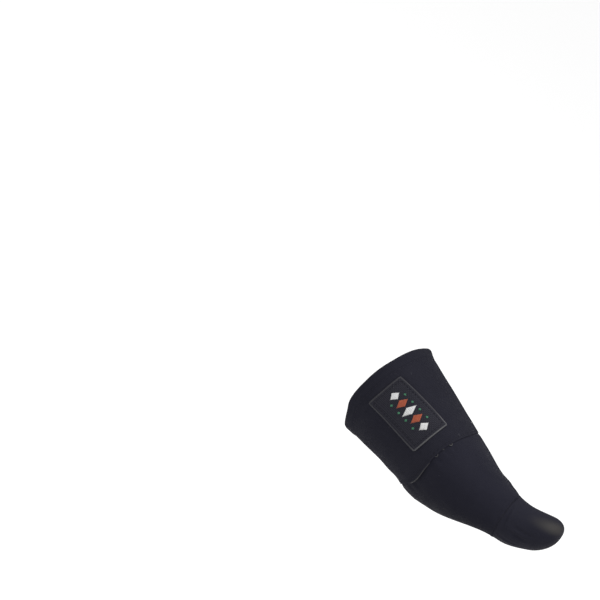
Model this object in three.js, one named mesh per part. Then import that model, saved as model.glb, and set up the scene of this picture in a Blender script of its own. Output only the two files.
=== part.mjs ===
// Bunion splint, the left one: a stretch sleeve in the form it has when worn, with a closed toe pocket.
// Millimetres. +X runs forward to the toe pocket, +Y to the outer side, +Z up to the top of the sleeve.
// The origin is the middle of the rear mouth, where the sleeve is pulled on.
import * as THREE from "three";

// Driving dimensions
const BAND_WALL = 2.0; // padded fabric of the instep band
const PANEL_WALL = 1.6; // stretch fabric of the front panel and the toe pocket
const SEAM_WALL = 0.8; // either layer where the cross seam's stitches press it flat
const SEAM_LAP = 6; // how far the front panel reaches back under the band
const SEAM_STEP = 0.3; // how far the panel stays below the band's face in front of the seam's groove
const HEM_DEPTH = 5; // the turned hem of the rear mouth
const HEM_SWELL = 0.35; // the hem is this much fuller than the band, outside and inside
const EDGE_ROUND = 0.5; // rounding of a cut edge
const GAP = 0.3; // clearance between neighbouring pieces
const TOE_ROOT_X = 93; // the seam ring round the root of the toe pocket
const LABEL = { length: 34.5, width: 21.2, thickness: 0.7, station: 18, angle: 161, slope: -0.33 };

// The worn form of the sleeve: one row for each cross section, placed by its centre.
// tilt leans a section's top forward and yaw swings its outer side back, in degrees.
// up, down, medial and lateral are half sizes, lean shears the top sideways for each mm of height,
// and wedge is the share of the height that the top loses towards the outer side.
const FORM_COLUMNS = ["x", "y", "z", "tilt", "yaw", "up", "down", "medial", "lateral", "lean", "wedge"];
const FORM = [
  [-14, 0, 3.5, 17, 0, 33.4, 33.4, 32, 36, -0.2, 0.1],
  [8, 0, -2.5, 17, 0, 30.9, 29.9, 33, 37.5, -0.22, 0.12],
  [26, 0, -7.6, 17, 0, 27.7, 27.7, 34.5, 40, -0.24, 0.16],
  [42, 0, -12.9, 16, 2, 26.7, 26.8, 37.5, 43.6, -0.25, 0.24],
  [57, 1, -16, 14, 6, 24.4, 24.3, 40, 43.2, -0.26, 0.34],
].map(namedRow);
const FORM_POWER = 2.35; // roundness of a section: 2 is an ellipse, more is squarer

// The front mouth, open beside the toe pocket, is one more section of the same kind.
const MOUTH = namedRow([79, 9.4, -24.4, 4, 20, 10.4, 14, 30, 40.1, -0.05, 0.1]);
const MOUTH_SPAN = 150; // degrees of that section each way from the outer side to the toe web
const BALL_EASE = 0.7; // how long the sleeve keeps the ball section's slope before it turns to the front edge

// The toe pocket: sections across it, with x counted from its root, and a domed end.
const TOE = [
  { x: 0, y: -25.7, z: -13.8, width: 13.3, height: 12.6 },
  { x: 7, y: -26, z: -13.8, width: 12.8, height: 12.1 },
  { x: 19, y: -26, z: -10.8, width: 12.6, height: 10.8 },
  { x: 30.2, y: -26, z: -6.6, width: 11.4, height: 9.1 },
];
const TOE_POWER = 2.2;
const DOME = { from: 0.65, power: 2.45 }; // the last part of the pocket's length closes in this curve

// Where the edges and seams cross the form: station along it at an angle round it.
// Angles: 0 is the outer side, 90 the top, 180 the inner side, 270 the sole.
const REAR_EDGE = [
  { angle: 0, station: -2 },
  { angle: 85, station: -4.7 },
  { angle: 135, station: -7.1 },
  { angle: 175, station: -8.4 },
  { angle: 200, station: -6.5 },
  { angle: 225, station: -1.1 },
  { angle: 262, station: 3 },
  { angle: 315, station: 1.5 },
];
const CROSS_SEAM = [
  { angle: 0, station: 45 },
  { angle: 88, station: 46 },
  { angle: 170, station: 43 },
  { angle: 198, station: 45 },
  { angle: 235, station: 41.5 },
  { angle: 300, station: 42 },
];
const TOE_STRIP = { top: 103, sole: 258 }; // the part of the form that runs out into the toe pocket
const TOE_WEB = { top: 58, sole: 298 }; // where the front mouth's edge meets the toe pocket's ring

// Facets
const TOE_FACETS = 20; // round the toe pocket from web to web
const MOUTH_FACETS = 25; // round the front mouth
const WEB_FACETS = 9; // round the side of the toe pocket that faces the front mouth

const FABRIC = new THREE.MeshStandardMaterial({ color: 0x24242c, roughness: 0.8, metalness: 0 });
const PADDED_FABRIC = new THREE.MeshStandardMaterial({ color: 0x26262d, roughness: 0.85, metalness: 0 });
const WOVEN_LABEL = new THREE.MeshStandardMaterial({ color: 0x2c2c33, roughness: 0.7, metalness: 0 });

// A form's row of values, under the names of its columns.
function namedRow(values) {
  return Object.fromEntries(values.map((value, i) => [FORM_COLUMNS[i], value]));
}

const radians = THREE.MathUtils.degToRad;
const lerp = THREE.MathUtils.lerp;

// A power of a cosine or sine that keeps its sign, which squares off an ellipse.
const signedPower = (value, power) => Math.sign(value) * Math.abs(value) ** power;

// Evenly spaced values from one end to the other, both included.
const steps = (from, to, count) => Array.from({ length: count + 1 }, (_, i) => lerp(from, to, i / count));

// A smooth row between the rows of a table, at a value of its key column.
function smoothRow(rows, key, at) {
  const last = rows.length - 2;
  const k = THREE.MathUtils.clamp(rows.findLastIndex((row) => row[key] <= at), 0, last);
  const [before, a, b, after] = [Math.max(k - 1, 0), k, k + 1, Math.min(k + 2, last + 1)].map((i) => rows[i]);
  const span = b[key] - a[key];
  const t = (at - a[key]) / span;
  const made = {};
  for (const column of Object.keys(a)) {
    const slope = (low, middle, high) => {
      const left = middle[key] - low[key];
      const right = high[key] - middle[key];
      if (left === 0) return (high[column] - middle[column]) / right;
      if (right === 0) return (middle[column] - low[column]) / left;
      const leftSlope = (middle[column] - low[column]) / left;
      const rightSlope = (high[column] - middle[column]) / right;
      return (right * leftSlope + left * rightSlope) / (left + right);
    };
    made[column] = hermite(a[column], slope(before, a, b) * span, b[column], slope(a, b, after) * span, t);
  }
  return made;
}

// A cubic from one value to another with a given rise at each end.
function hermite(from, rise, to, endRise, t) {
  const t2 = t * t;
  const t3 = t2 * t;
  const ends = (2 * t3 - 3 * t2 + 1) * from + (3 * t2 - 2 * t3) * to;
  return ends + (t3 - 2 * t2 + t) * rise + (t3 - t2) * endRise;
}

// The station of an edge or seam at an angle: its table runs round and meets itself.
function stationAt(line, angle) {
  const turn = (shift) => line.map((row) => ({ angle: row.angle + shift, station: row.station }));
  return smoothRow([...turn(-360), ...line, ...turn(360)], "angle", angle).station;
}

// A point of a section, at an angle round it in degrees.
function sectionPoint(row, angle) {
  const side = signedPower(Math.cos(radians(angle)), 2 / FORM_POWER);
  const rise = signedPower(Math.sin(radians(angle)), 2 / FORM_POWER);
  const across = side * (side > 0 ? row.lateral : row.medial);
  const outward = (across + row.medial) / (row.medial + row.lateral);
  const height = rise > 0 ? rise * row.up * (1 - row.wedge * outward) : rise * row.down;
  const sheared = across + row.lean * height;
  return new THREE.Vector3(
    row.x + height * Math.sin(radians(row.tilt)) - sheared * Math.sin(radians(row.yaw)),
    row.y + sheared * Math.cos(radians(row.yaw)),
    row.z + height * Math.cos(radians(row.tilt)),
  );
}

const sleevePoint = (station, angle) => sectionPoint(smoothRow(FORM, "x", station), angle);

// A point of the toe pocket, at a distance from its root and an angle round it in degrees.
function toePoint(distance, angle) {
  const row = smoothRow(TOE, "x", distance);
  const share = distance / TOE.at(-1).x;
  const closing = Math.max(0, (share - DOME.from) / (1 - DOME.from));
  const size = Math.max(0, 1 - closing ** DOME.power) ** (1 / DOME.power);
  return new THREE.Vector3(
    TOE_ROOT_X + distance,
    row.y + size * row.width * signedPower(Math.cos(radians(angle)), 2 / TOE_POWER),
    row.z + size * row.height * signedPower(Math.sin(radians(angle)), 2 / TOE_POWER),
  );
}

// Angles round the sleeve: first the strip that runs into the toe pocket, top to sole, then the rest.
const STRIP_ANGLES = steps(TOE_STRIP.top, TOE_STRIP.sole, TOE_FACETS);
const REST_ANGLES = steps(TOE_STRIP.sole, TOE_STRIP.top + 360, MOUTH_FACETS).slice(1, -1);
const SLEEVE_ANGLES = [...STRIP_ANGLES, ...REST_ANGLES];
const TOE_ARC_ANGLES = steps(TOE_WEB.top, TOE_WEB.sole, TOE_FACETS);
const WEB_ANGLES = steps(TOE_WEB.sole, TOE_WEB.top + 360, WEB_FACETS).slice(1, -1);

// The sleeve's front edge: the toe pocket's ring from web to web, then the front mouth, drawn to both webs.
function frontRing() {
  const toeArc = TOE_ARC_ANGLES.map((angle) => toePoint(0, angle));
  const mouth = steps(-MOUTH_SPAN, MOUTH_SPAN, MOUTH_FACETS).map((angle) => sectionPoint(MOUTH, angle));
  const toSole = toeArc.at(-1).clone().sub(mouth[0]);
  const toTop = toeArc[0].clone().sub(mouth.at(-1));
  mouth.forEach((point, i) => {
    const share = i / MOUTH_FACETS;
    point.addScaledVector(toSole, (1 - share) ** 3).addScaledVector(toTop, share ** 3);
  });
  return [...toeArc, ...mouth.slice(1, -1)];
}

// A ring of the sleeve in front of the last section: share 0 is that section, 1 the front edge.
function forefootRing(share) {
  const ballStation = FORM.at(-1).x;
  return frontRing().map((end, i) => {
    const start = sleevePoint(ballStation, SLEEVE_ANGLES[i]);
    const behind = sleevePoint(ballStation - 1, SLEEVE_ANGLES[i]);
    const length = end.distanceTo(start);
    const leaving = start.clone().sub(behind).multiplyScalar(length * BALL_EASE);
    const chord = end.clone().sub(start).divideScalar(length);
    const arriving = chord.add(new THREE.Vector3(1, 0, 0)).setLength(length);
    const along = (axis) => hermite(start[axis], leaving[axis], end[axis], arriving[axis], share);
    return new THREE.Vector3(along("x"), along("y"), along("z"));
  });
}

// Outward directions at each point of a set of closed rings, from the points around it.
function outwardDirections(rings) {
  return rings.map((ring, j) =>
    ring.map((_, i) => {
      const around = ring[(i + 1) % ring.length].clone().sub(ring.at(i - 1));
      const ahead = rings[Math.min(j + 1, rings.length - 1)][i].clone().sub(rings[Math.max(j - 1, 0)][i]);
      return around.cross(ahead).normalize();
    }),
  );
}

// Moves each ring inwards by its own depth.
function sunkRings(rings, directions, depths) {
  const sunk = (point, j, i) => point.clone().addScaledVector(directions[j][i], -depths[j]);
  return rings.map((ring, j) => ring.map((point, i) => sunk(point, j, i)));
}

// A closed solid from points and triangles.
function solid(points, triangles) {
  const geometry = new THREE.BufferGeometry().setFromPoints(points);
  geometry.setIndex(triangles);
  geometry.computeVertexNormals();
  return geometry;
}

// The wall between an outer and an inner set of rings. With a tip, the last rings close on a point each.
function sleeveWall(outer, inner, tip) {
  const count = outer[0].length;
  const rows = outer.length;
  const points = [...outer.flat(), ...inner.flat()];
  const outerAt = (j, i) => j * count + (i % count);
  const innerAt = (j, i) => rows * count + outerAt(j, i);
  const triangles = [];
  const quad = (a, b, c, d) => triangles.push(a, b, c, b, d, c);
  for (let i = 0; i < count; i++) {
    for (let j = 0; j < rows - 1; j++) {
      quad(outerAt(j, i), outerAt(j, i + 1), outerAt(j + 1, i), outerAt(j + 1, i + 1));
      quad(innerAt(j, i + 1), innerAt(j, i), innerAt(j + 1, i + 1), innerAt(j + 1, i));
    }
    quad(innerAt(0, i), innerAt(0, i + 1), outerAt(0, i), outerAt(0, i + 1));
    const end = rows - 1;
    if (tip) {
      const outerTip = points.length;
      triangles.push(outerAt(end, i), outerAt(end, i + 1), outerTip);
      triangles.push(innerAt(end, i + 1), innerAt(end, i), outerTip + 1);
    } else {
      quad(outerAt(end, i), outerAt(end, i + 1), innerAt(end, i), innerAt(end, i + 1));
    }
  }
  if (tip) points.push(tip.outer, tip.inner);
  return solid(points, triangles);
}

function namedMesh(name, geometry, material) {
  const mesh = new THREE.Mesh(geometry, material);
  mesh.name = name;
  return mesh;
}

// The instep band: share runs from the rear edge to the cross seam and shift is then along the form.
// outer and inner are the depths of the wall's two faces under the form.
function instepBand() {
  const rows = [
    { share: 0, shift: 0, outer: EDGE_ROUND, inner: BAND_WALL - EDGE_ROUND },
    { share: 0, shift: EDGE_ROUND, outer: -HEM_SWELL, inner: BAND_WALL + HEM_SWELL },
    { share: 0, shift: HEM_DEPTH - 1, outer: -HEM_SWELL, inner: BAND_WALL + HEM_SWELL },
    { share: 0, shift: HEM_DEPTH + 1, outer: 0, inner: BAND_WALL },
    ...steps(0.25, 0.7, 4).map((share) => ({ share, shift: 0, outer: 0, inner: BAND_WALL })),
    { share: 1, shift: -SEAM_LAP - 3, outer: 0, inner: BAND_WALL },
    { share: 1, shift: -SEAM_LAP - 0.5, outer: 0, inner: SEAM_WALL },
    { share: 1, shift: -EDGE_ROUND, outer: 0, inner: SEAM_WALL },
    { share: 1, shift: 0, outer: EDGE_ROUND / 2, inner: SEAM_WALL },
  ];
  const rings = rows.map((row) =>
    SLEEVE_ANGLES.map((angle) => {
      const station = lerp(stationAt(REAR_EDGE, angle), stationAt(CROSS_SEAM, angle), row.share);
      return sleevePoint(station + row.shift, angle);
    }),
  );
  const out = outwardDirections(rings);
  const outer = sunkRings(rings, out, rows.map((row) => row.outer));
  const inner = sunkRings(rings, out, rows.map((row) => row.inner));
  return namedMesh("instep_band", sleeveWall(outer, inner), PADDED_FABRIC);
}

// The front panel: it starts under the band, comes out at the cross seam and ends at the front edge.
function forefootPanel() {
  const underBand = SEAM_WALL + GAP;
  const rows = [
    { shift: -SEAM_LAP, outer: underBand, inner: underBand + SEAM_WALL },
    { shift: -SEAM_LAP / 2, outer: underBand, inner: underBand + SEAM_WALL },
    { shift: GAP, outer: underBand, inner: underBand + SEAM_WALL },
    { shift: 2, outer: SEAM_STEP, inner: SEAM_STEP + PANEL_WALL },
    { shift: 6, outer: SEAM_STEP / 4, inner: SEAM_STEP / 4 + PANEL_WALL },
  ];
  const frontShares = steps(0, 1, 9);
  const seamRing = (shift) =>
    SLEEVE_ANGLES.map((angle) => sleevePoint(stationAt(CROSS_SEAM, angle) + shift, angle));
  const rings = [...rows.map((row) => seamRing(row.shift)), ...frontShares.map(forefootRing)];
  const depth = (face, plain, edge) => [
    ...rows.map((row) => row[face]),
    ...frontShares.map((share) => (share < 1 ? plain : edge)),
  ];
  const out = outwardDirections(rings);
  out.at(-1).forEach((direction) => direction.setX(0).normalize());
  const outer = sunkRings(rings, out, depth("outer", 0, EDGE_ROUND / 2));
  const inner = sunkRings(rings, out, depth("inner", PANEL_WALL, PANEL_WALL - EDGE_ROUND / 2));
  return namedMesh("forefoot_panel", sleeveWall(outer, inner), FABRIC);
}

// The toe pocket: a closed finger from the toe root's seam to the domed tip.
function toePocket() {
  const length = TOE.at(-1).x;
  const dome = length * (1 - DOME.from);
  const distances = [
    ...steps(GAP, length - dome, 6),
    ...[24, 44, 60, 74, 84].map((angle) => length - dome + dome * Math.sin(radians(angle))),
  ];
  const angles = [...TOE_ARC_ANGLES, ...WEB_ANGLES];
  const rings = distances.map((distance) => angles.map((angle) => toePoint(distance, angle)));
  const out = outwardDirections(rings);
  out[0].forEach((direction) => direction.setX(0).normalize());
  const edgeFirst = (edge, plain) => distances.map((_, j) => (j === 0 ? edge : plain));
  const outer = sunkRings(rings, out, edgeFirst(EDGE_ROUND / 2, 0));
  const inner = sunkRings(rings, out, edgeFirst(PANEL_WALL - EDGE_ROUND / 2, PANEL_WALL));
  const end = toePoint(length, 0);
  const tip = { outer: end, inner: end.clone().setX(end.x - PANEL_WALL) };
  return namedMesh("toe_pocket", sleeveWall(outer, inner, tip), FABRIC);
}

// The sewn label: a thin rectangle that lies on the band and follows its curve.
function label() {
  const { station, angle, slope, length, width, thickness } = LABEL;
  const reach = 0.5; // half the step used to measure how fast the form runs along and around
  const alongScale = sleevePoint(station - reach, angle).distanceTo(sleevePoint(station + reach, angle));
  const columns = steps(-length / 2, length / 2, 12);
  const lines = steps(-width / 2, width / 2, 8);
  const face = (height) =>
    columns.map((along) => {
      const at = station + along / alongScale;
      const middle = angle + slope * (at - station);
      const aroundScale = sleevePoint(at, middle - reach).distanceTo(sleevePoint(at, middle + reach));
      return lines.map((across) => {
        const turn = middle + across / aroundScale;
        const point = sleevePoint(at, turn);
        const around = sleevePoint(at, turn + reach).sub(sleevePoint(at, turn - reach));
        const ahead = sleevePoint(at + reach, turn).sub(sleevePoint(at - reach, turn));
        return point.addScaledVector(around.cross(ahead).normalize(), height);
      });
    });
  const outer = face(GAP + thickness);
  const inner = face(GAP);
  const count = lines.length;
  const outerAt = (j, i) => j * count + i;
  const innerAt = (j, i) => columns.length * count + outerAt(j, i);
  const triangles = [];
  const quad = (a, b, c, d) => triangles.push(a, b, c, b, d, c);
  const last = { j: columns.length - 1, i: count - 1 };
  for (let j = 0; j < last.j; j++) {
    for (let i = 0; i < last.i; i++) {
      quad(outerAt(j, i), outerAt(j, i + 1), outerAt(j + 1, i), outerAt(j + 1, i + 1));
      quad(innerAt(j, i + 1), innerAt(j, i), innerAt(j + 1, i + 1), innerAt(j + 1, i));
    }
    quad(innerAt(j + 1, 0), innerAt(j, 0), outerAt(j + 1, 0), outerAt(j, 0));
    quad(innerAt(j, last.i), innerAt(j + 1, last.i), outerAt(j, last.i), outerAt(j + 1, last.i));
  }
  for (let i = 0; i < last.i; i++) {
    quad(innerAt(0, i), innerAt(0, i + 1), outerAt(0, i), outerAt(0, i + 1));
    quad(innerAt(last.j, i + 1), innerAt(last.j, i), outerAt(last.j, i + 1), outerAt(last.j, i));
  }
  return namedMesh("label", solid([...outer.flat(), ...inner.flat()], triangles), WOVEN_LABEL);
}

const splint = new THREE.Group();
splint.add(instepBand(), forefootPanel(), toePocket(), label());

export default splint;
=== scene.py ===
import math
import bpy
import numpy as np
from mathutils import Matrix, Vector
from numpy.linalg import norm


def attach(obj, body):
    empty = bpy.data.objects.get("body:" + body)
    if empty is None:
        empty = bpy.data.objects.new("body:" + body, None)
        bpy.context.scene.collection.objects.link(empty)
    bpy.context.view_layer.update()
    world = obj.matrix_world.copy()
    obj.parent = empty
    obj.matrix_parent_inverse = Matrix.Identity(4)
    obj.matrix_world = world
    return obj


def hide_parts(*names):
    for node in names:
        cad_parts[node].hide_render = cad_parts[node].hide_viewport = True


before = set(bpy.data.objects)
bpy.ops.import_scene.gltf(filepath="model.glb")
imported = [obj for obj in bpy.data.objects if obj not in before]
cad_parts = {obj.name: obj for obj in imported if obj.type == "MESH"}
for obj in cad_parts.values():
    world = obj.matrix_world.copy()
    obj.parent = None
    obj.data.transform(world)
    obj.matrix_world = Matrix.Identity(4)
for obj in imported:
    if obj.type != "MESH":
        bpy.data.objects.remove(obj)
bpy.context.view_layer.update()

mm = 0.001  # tables below are in millimetres, meshes in metres
print("frame loaded")


# the worn form, shared by every cloth piece
sleeveForm = {
    "columns": ("x", "y", "z", "tilt", "yaw", "up", "down", "medial", "lateral", "lean", "wedge"),
    "sections": (
        (-14, 0, 3.5, 17, 0, 33.4, 33.4, 32, 36, -0.2, 0.1),
        (8, 0, -2.5, 17, 0, 30.9, 29.9, 33, 37.5, -0.22, 0.12),
        (26, 0, -7.6, 17, 0, 27.7, 27.7, 34.5, 40, -0.24, 0.16),
        (42, 0, -12.9, 16, 2, 26.7, 26.8, 37.5, 43.6, -0.25, 0.24),
        (57, 1, -16, 14, 6, 24.4, 24.3, 40, 43.2, -0.26, 0.34),
    ),
    "mouth": (79, 9.4, -24.4, 4, 20, 10.4, 14, 30, 40.1, -0.05, 0.1),
    "mouthSpan": 150,  # degrees each way from the outer side
    "power": 2.35,  # 2 is an ellipse, more is squarer
    "ballEase": 0.7,
    "toeStrip": (103, 258),  # the part that runs out into the toe pocket
    "rearEdge": (  # angle and station, as for the cross seam
        (0, -2), (85, -4.7), (135, -7.1), (175, -8.4), (200, -6.5), (225, -1.1), (262, 3), (315, 1.5),
    ),
    "crossSeam": ((0, 45), (88, 46), (170, 43), (198, 45), (235, 41.5), (300, 42)),
}
toeForm = {
    "sections": (  # distance from the root, y, z, half width, half height
        (0, -25.7, -13.8, 13.3, 12.6),
        (7, -26, -13.8, 12.8, 12.1),
        (19, -26, -10.8, 12.6, 10.8),
        (30.2, -26, -6.6, 11.4, 9.1),
    ),
    "rootX": 93,
    "power": 2.2,
    "domeFrom": 0.65,
    "domePower": 2.45,
    "web": (58, 298),  # where the front mouth meets the toe pocket's ring
}
facets = {"toe": 104, "mouth": 136, "web": 48}  # columns of cloth around


def signedPower(value, power):
    return np.sign(value) * np.abs(value) ** power


def smoothRows(rows, at):  # smooth curve through the rows, read at values of the first column
    rows, at = np.asarray(rows, float), np.asarray(at, float)
    key = rows[:, 0]
    gap = np.diff(key)
    rate = np.diff(rows, axis=0) / gap[:, None]
    slope = np.vstack([rate[:1], np.zeros((len(rows) - 2, rows.shape[1])), rate[-1:]])
    slope[1:-1] = (rate[1:] * gap[:-1, None] + rate[:-1] * gap[1:, None]) / (gap[1:] + gap[:-1])[:, None]
    k = np.clip(np.searchsorted(key, at, side="right") - 1, 0, len(key) - 2)
    span = gap[k][..., None]
    t = ((at - key[k]) / gap[k])[..., None]
    return hermite(rows[k], slope[k] * span, rows[k + 1], slope[k + 1] * span, t)


def hermite(start, rise, end, endRise, t):
    t2, t3 = t * t, t * t * t
    place = (2 * t3 - 3 * t2 + 1) * start + (3 * t2 - 2 * t3) * end
    return place + (t3 - 2 * t2 + t) * rise + (t3 - t2) * endRise


def lineAt(line, angles):  # station of an edge or seam, whose table runs round and meets itself
    line = np.asarray(line, float)
    return smoothRows(np.vstack([line - [360, 0], line, line + [360, 0]]), angles)[..., 1]


def sectionPoints(rows, angles):
    part = {name: rows[..., k] for k, name in enumerate(sleeveForm["columns"])}
    side = signedPower(np.cos(np.radians(angles)), 2 / sleeveForm["power"])
    rise = signedPower(np.sin(np.radians(angles)), 2 / sleeveForm["power"])
    across = side * np.where(side > 0, part["lateral"], part["medial"])
    outwardShare = (across + part["medial"]) / (part["medial"] + part["lateral"])
    height = rise * np.where(rise > 0, part["up"] * (1 - part["wedge"] * outwardShare), part["down"])
    sheared = across + part["lean"] * height
    tilt, yaw = np.radians(part["tilt"]), np.radians(part["yaw"])
    return np.stack([
        part["x"] + height * np.sin(tilt) - sheared * np.sin(yaw),
        part["y"] + sheared * np.cos(yaw),
        part["z"] + height * np.cos(tilt),
    ], -1)


def sleevePoints(station, angles):
    return sectionPoints(smoothRows(sleeveForm["sections"], station), angles)


def toePoints(distance, angles):
    row = smoothRows(toeForm["sections"], distance)
    share = np.asarray(distance, float) / toeForm["sections"][-1][0]
    closing = np.clip((share - toeForm["domeFrom"]) / (1 - toeForm["domeFrom"]), 0, 1)
    size = np.clip(1 - closing ** toeForm["domePower"], 0, 1) ** (1 / toeForm["domePower"])
    turn = np.radians(angles)
    return np.stack([
        toeForm["rootX"] + distance + 0 * turn,
        row[..., 1] + size * row[..., 3] * signedPower(np.cos(turn), 2 / toeForm["power"]),
        row[..., 2] + size * row[..., 4] * signedPower(np.sin(turn), 2 / toeForm["power"]),
    ], -1)


stripStart, stripEnd = sleeveForm["toeStrip"]
sleeveAngles = np.concatenate([
    np.linspace(stripStart, stripEnd, facets["toe"] + 1),
    np.linspace(stripEnd, stripStart + 360, facets["mouth"] + 1)[1:-1],
])
toeArcAngles = np.linspace(*toeForm["web"], facets["toe"] + 1)
toeAngles = np.concatenate([
    toeArcAngles,
    np.linspace(toeForm["web"][1], toeForm["web"][0] + 360, facets["web"] + 1)[1:-1],
])
rearStation = lineAt(sleeveForm["rearEdge"], sleeveAngles)
seamStation = lineAt(sleeveForm["crossSeam"], sleeveAngles)


def frontEdge():  # the toe pocket's ring from web to web, then the front mouth
    toeArc = toePoints(np.zeros(len(toeArcAngles)), toeArcAngles)
    share = np.linspace(0, 1, facets["mouth"] + 1)
    rows = np.tile(np.array(sleeveForm["mouth"], float), (len(share), 1))
    mouth = sectionPoints(rows, sleeveForm["mouthSpan"] * (2 * share - 1))
    toLast, toFirst = (1 - share[:, None]) ** 3, share[:, None] ** 3  # both ends are drawn to the toe ring's
    mouth = mouth + toLast * (toeArc[-1] - mouth[0]) + toFirst * (toeArc[0] - mouth[-1])
    return np.vstack([toeArc, mouth[1:-1]])


def forefootRings(shares):  # 0 is the ball section, 1 the front edge
    ball = sleeveForm["sections"][-1][0]
    start, end = sleevePoints(np.full(len(sleeveAngles), ball), sleeveAngles), frontEdge()
    behind = sleevePoints(np.full(len(sleeveAngles), ball - 1), sleeveAngles)
    length = norm(end - start, axis=1)[:, None]
    arrive = (end - start) / length + [1, 0, 0]
    arrive *= length / norm(arrive, axis=1)[:, None]
    leave = (start - behind) * length * sleeveForm["ballEase"]
    return [hermite(start, leave, end, arrive, t) for t in shares]


def unit(vectors):
    return vectors / np.maximum(norm(vectors, axis=-1, keepdims=True), 1e-9)


def outwardOf(rings):  # outward directions of closed rings that run forward
    around = np.roll(rings, -1, 1) - np.roll(rings, 1, 1)
    ahead = np.concatenate([rings[1:2] - rings[:1], rings[2:] - rings[:-2], rings[-1:] - rings[-2:-1]])
    return unit(np.cross(around, ahead))


def runFromStart(rings):  # length along the cloth from its first ring, at every point
    step = norm(np.diff(rings, axis=0), axis=2)
    return np.vstack([np.zeros((1, rings.shape[1])), np.cumsum(step, 0)])


def runAlong(line):  # length along an open line, at every point
    return np.concatenate([[0], np.cumsum(norm(np.diff(line, axis=0), axis=1))])


def pointsAt(at, run, line):  # points of a line at given lengths
    return np.stack([np.interp(at, run, line[:, axis]) for axis in range(3)], -1)


def runAround(ring):  # length round a closed ring, at every point
    step = norm(np.roll(ring, -1, 0) - ring, axis=1)
    return np.concatenate([[0], np.cumsum(step)[:-1]])


def bell(value, width):
    return np.exp(-((value / width) ** 2))


def rampUp(value, low, high):
    t = np.clip((value - low) / (high - low), 0, 1)
    return t * t * (3 - 2 * t)


# mesh makers
def clothMesh(name, rows, cyclicRows, poles=None):  # closed rings, with lengths in millimetres as its map
    rows = np.asarray(rows)
    count, across = rows.shape[:2]
    points = rows.reshape(-1, 3)
    j, i = np.meshgrid(np.arange(count if cyclicRows else count - 1), np.arange(across), indexing="ij")
    j, i = j.ravel(), i.ravel()
    nextRow, nextCol = (j + 1) % count, (i + 1) % across
    corners = ((j, i), (j, nextCol), (nextRow, nextCol), (nextRow, i))
    faces = np.stack([row * across + column for row, column in corners], 1).tolist()
    gaps = norm(np.roll(rows, -1, 1) - rows, axis=2)
    share = np.concatenate([[0], np.cumsum(gaps.mean(0))])
    u = share / share[-1] * round(gaps.sum(1).max())
    step = norm(np.roll(rows, -1, 0) - rows, axis=2).mean(1)
    v = np.concatenate([[0], np.cumsum(step)])
    steps = ((0, 0), (1, 0), (1, 1), (0, 1))
    loopMap = np.stack([np.stack([u[i + a], v[j + b]], 1) for a, b in steps], 1).reshape(-1, 2)
    if poles is not None:
        first, last = len(points), len(points) + 1
        points = np.vstack([points, poles])
        end, top = (count - 1) * across, v[count - 1]
        fans = []
        for c in range(across):
            n = (c + 1) % across
            faces += [[first, n, c], [end + c, end + n, last]]
            fans += [[u[c], -1], [u[c + 1], v[0]], [u[c], v[0]]]
            fans += [[u[c], top], [u[c + 1], top], [u[c], top + 1]]
        loopMap = np.vstack([loopMap, fans])
    return meshObject(name, points, faces, loopMap)


def meshObject(name, points, faces, loopMap):
    mesh = bpy.data.meshes.new(name)
    mesh.from_pydata((np.asarray(points) * mm).tolist(), [], faces)
    layer = mesh.uv_layers.new(name="clothMap")
    layer.data.foreach_set("uv", np.asarray(loopMap, float).ravel())
    mesh.polygons.foreach_set("use_smooth", [True] * len(mesh.polygons))
    mesh.validate()
    mesh.update()
    return addObject(name, mesh)


def addObject(name, data):
    thing = bpy.data.objects.new(name, data)
    bpy.context.scene.collection.objects.link(thing)
    return thing


def edgeTurn(base, away, out, outer, inner, steps):  # a rounded cut edge from the outer face to the inner
    middle, half = (outer + inner) / 2, (inner - outer) / 2
    turned = []
    for theta in np.linspace(0, np.pi, steps + 2)[1:-1]:
        depth = middle - half * np.cos(theta)
        turned.append(base - out * depth[:, None] + away * (half * 0.75 * np.sin(theta))[:, None])
    return turned


# the outer face forward, the front edge, the inner face back and the rear edge
def sleeveRows(base, out, outer, inner, rounded=1.0):
    front = edgeTurn(base[-1], unit(base[-1] - base[-2]) * rounded, out[-1], outer[-1], inner[-1], 5)
    rear = edgeTurn(base[0], unit(base[0] - base[1]), out[0], outer[0], inner[0], 5)
    faceOut, faceIn = base - out * outer[..., None], base - out * inner[..., None]
    return np.array([*faceOut, *front, *faceIn[::-1], *rear[::-1]])


def threadTubes(name, runs, sides=6):  # round threads: each run is (points, radii) in millimetres
    points, faces, loopMap = [], [], []
    for path, radii in runs:
        path = np.asarray(path, float)
        ahead = unit(np.gradient(path, axis=0))
        hint = np.array([0.31, -0.87, 0.38])
        side = unit(np.cross(ahead, hint))
        lift = np.cross(side, ahead)
        start = len(points)
        run = runAlong(path)
        for k in range(len(path)):
            for s in range(sides):
                a = 2 * math.pi * s / sides
                points.append(path[k] + radii[k] * (math.cos(a) * side[k] + math.sin(a) * lift[k]))
        for k in range(len(path) - 1):
            for s in range(sides):
                a, b = start + k * sides + s, start + k * sides + (s + 1) % sides
                faces.append([b, a, a + sides, b + sides])
                loopMap += [[run[k], (s + 1) / sides], [run[k], s / sides]]
                loopMap += [[run[k + 1], s / sides], [run[k + 1], (s + 1) / sides]]
        end = start + (len(path) - 1) * sides
        faces.append([start + s for s in range(sides)])
        faces.append([end + s for s in reversed(range(sides))])
        loopMap += [[0, s / sides] for s in range(sides)] + [[run[-1], s / sides] for s in range(sides)]
    return meshObject(name, points, faces, loopMap)


def lineOnCloth(points, run, target):  # the closed or open line at one length from an edge
    line = []
    for c in range(points.shape[1]):
        order = np.argsort(run[:, c])
        line.append(pointsAt(target, run[order, c], points[order, c]))
    return np.array(line)


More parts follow.
